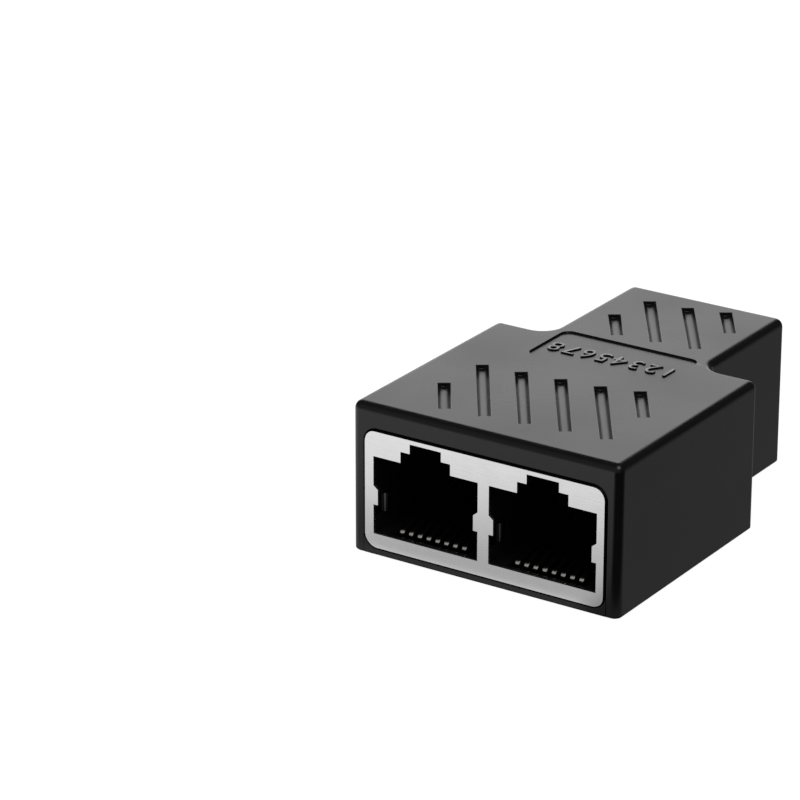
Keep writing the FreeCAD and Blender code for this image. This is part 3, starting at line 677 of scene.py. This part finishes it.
# What the surfaces mirror. A pair gives where a soft edge starts and ends, or the tones on its
# two sides
mirrored = {
    # a bright panel low behind the object's left: the upward part of a unit direction, then
    # degrees from +X
    "panelGlow": (1.52, 1.84),
    "panelRise": (0.365, 0.398),
    "panelTop": (0.50, 0.60),
    "panelRight": (98.0, 108.0),
    "panelLeft": (134.0, 146.0),
    # dim all round it, and a little lighter in front: the part of a unit direction along Y
    "darkGlow": 0.06,
    "frontGlow": 0.30,
    "frontFrom": (-0.10, -0.75),
    # the floor's left side, painted lighter far away and in a strip at the object's foot, and
    # painted dim behind
    "floorFar": (22.0 * millimetre, 56.0 * millimetre),
    "floorTones": (0.44, 1.0),
    "foot": (-23.6 * millimetre, -22.6 * millimetre, -21.8 * millimetre, -21.4 * millimetre),
    "footTone": 0.30,
    "behind": (3.0 * millimetre, 6.0 * millimetre),
    # its right side, painted black as the object's shadow before the line y = sideSlope * x +
    # sideSplit, and painted dim past it
    "floorSplit": (9.0 * millimetre, 12.5 * millimetre),
    "sideSlope": 0.9,
    "sideSplit": (-42.0 * millimetre, -36.0 * millimetre),
    "sideTones": (0.01, 0.26),
    # painted shadow, black beneath the wide block: the middle and the half width
    "shadeX": (0.0, 15.0 * millimetre),
    "shadeY": (-8.25 * millimetre, 13.15 * millimetre),
}


def paintedFloorReflection(tree):
    # what glossy rays see on the floor: a glow with painted light and painted shadows, a painted
    # reflection of a lit floor
    tones = mirrored
    place = objectPlace(tree)
    x, y, _ = axesOf(tree, place)
    distance = addNode(tree, "ShaderNodeVectorMath", {0: place}, operation="LENGTH").outputs["Value"]
    across = calculate(tree, "MULTIPLY_ADD", x, -tones["sideSlope"], y)
    front = calculate(tree, "MULTIPLY_ADD", window(tree, y, tones["foot"]), tones["footTone"],
                      ramp(tree, distance, *tones["floorFar"], *tones["floorTones"]))
    left = mixValues(tree, ramp(tree, y, *tones["behind"]), front, tones["sideTones"][1])
    right = ramp(tree, across, *tones["sideSplit"], *tones["sideTones"])
    openTone = mixValues(tree, ramp(tree, x, *tones["floorSplit"]), left, right)
    beneath = calculate(tree, "MULTIPLY", calculate(tree, "COMPARE", x, *tones["shadeX"]),
                        calculate(tree, "COMPARE", y, *tones["shadeY"]))
    return mixValues(tree, beneath, openTone, 0.0)


def makeFloor():
    # paint for the light. The camera sees a white glow over it, by whiteShare, and in the rest of
    # the paint the object's shadow. Glossy rays see instead a glow painted with light and shadows,
    # the painted floor reflection
    half = studio["floorSize"] / 2
    level = -studio["floorBelow"]
    corners = [(-half, -half, level), (half, -half, level),
               (half, half, level), (-half, half, level)]
    mesh = bpy.data.meshes.new("floor")
    mesh.from_pydata(corners, [], [(0, 1, 2, 3)])
    floor = bpy.data.objects.new("floor", mesh)
    bpy.context.scene.collection.objects.link(floor)
    material, tree = newMaterial("paleFloor", studio["floorColour"])
    rays = addNode(tree, "ShaderNodeLightPath").outputs
    paint = addNode(tree, "ShaderNodeBsdfDiffuse", {"Color": (*studio["floorColour"], 1.0)})
    glow = addNode(tree, "ShaderNodeEmission", {
        "Color": plainWhite, "Strength": studio["whiteGlow"]})
    image = addNode(tree, "ShaderNodeEmission", {
        "Color": plainWhite, "Strength": paintedFloorReflection(tree)})
    whiteShare = calculate(tree, "MULTIPLY", rays["Is Camera Ray"], studio["whiteShare"])
    plain = addNode(tree, "ShaderNodeMixShader", {
        0: whiteShare, 1: paint.outputs["BSDF"], 2: glow.outputs["Emission"]})
    seen = addNode(tree, "ShaderNodeMixShader", {
        0: rays["Is Glossy Ray"], 1: plain.outputs["Shader"], 2: image.outputs["Emission"]})
    closeMaterial(tree, seen.outputs["Shader"])
    mesh.materials.append(material)


def makeWorld():
    # plain grey light for the surfaces, the mirrored panel for glossy rays, white for the camera
    tones = mirrored
    world = bpy.data.worlds.new("studio")
    bpy.context.scene.world = world
    world.use_nodes = True
    tree = world.node_tree
    tree.nodes.clear()
    x, y, height = axesOf(tree, addNode(tree, "ShaderNodeTexCoord").outputs["Generated"])
    azimuth = calculate(tree, "ARCTAN2", y, x)
    fromRight = ramp(tree, azimuth, *np.radians(tones["panelRight"]))
    fromLeft = ramp(tree, azimuth, *np.radians(tones["panelLeft"]), 1.0, 0.0)
    across = calculate(tree, "MULTIPLY", fromRight, fromLeft)
    rising = ramp(tree, height, *tones["panelRise"], *tones["panelGlow"])
    panel = mixValues(tree, ramp(tree, height, *tones["panelTop"]), rising, tones["darkGlow"])
    around = ramp(tree, y, *tones["frontFrom"], tones["darkGlow"], tones["frontGlow"])
    rays = addNode(tree, "ShaderNodeLightPath").outputs
    unseen = mixValues(tree, rays["Is Glossy Ray"], studio["ambient"],
                       mixValues(tree, across, around, panel))
    light = addNode(tree, "ShaderNodeBackground", {
        "Color": plainWhite, "Strength": mixValues(tree, rays["Is Camera Ray"], unseen, 1.0)})
    output = addNode(tree, "ShaderNodeOutputWorld")
    tree.links.new(light.outputs["Background"], output.inputs["Surface"])


# towards points from the object to the lamp, share is of the plain level, and shows says whether
# the surfaces mirror the lamp too
lamps = {
    "keyLamp": {
        "towards": (-0.45, 0.35, 0.82),
        "distance": 0.9,
        "side": 0.5,
        "share": 0.55,
        "shows": False,
    },
    "cornerLamp": {
        "towards": (0.41, -0.23, 0.88),
        "distance": 0.9,
        "side": 0.55,
        "share": 0.34,
        "shows": True,
    },
}


def makeLamp(name, towards, distance, side, share, shows):
    # power for a share of the plain level: an area lamp's middle ray lights a facing surface by
    # power / (pi * distance^2), and the plain level is pi
    data = bpy.data.lights.new(name, "AREA")
    data.shape = "SQUARE"
    data.size = side
    data.energy = share * math.pi * math.pi * distance ** 2
    lamp = bpy.data.objects.new(name, data)
    direction = Vector(towards).normalized()
    lamp.location = direction * distance
    lamp.rotation_euler = direction.to_track_quat("Z", "Y").to_euler()
    lamp.visible_glossy = shows
    bpy.context.scene.collection.objects.link(lamp)


viewpoint = {
    "place": (182.02 * millimetre, -309.21 * millimetre, 155.81 * millimetre),
    "azimuth": 33.633,
    "elevation": 21.9,
    "lens": 176.26,
    "sensor": 36.0,
    "nearest": 10.0 * millimetre,
}


def makeCamera():
    data = bpy.data.cameras.new("camera")
    data.lens = viewpoint["lens"]
    data.sensor_width = viewpoint["sensor"]
    data.clip_start = viewpoint["nearest"]
    camera = bpy.data.objects.new("camera", data)
    camera.location = viewpoint["place"]
    camera.rotation_euler = (math.radians(90.0 - viewpoint["elevation"]), 0.0,
                             math.radians(viewpoint["azimuth"]))
    bpy.context.scene.collection.objects.link(camera)
    bpy.context.scene.camera = camera


makeFloor()
makeWorld()
for name, size in lamps.items():
    makeLamp(name, **size)
makeCamera()
bpy.context.scene.view_settings.view_transform = "Standard"
print("studio ready")
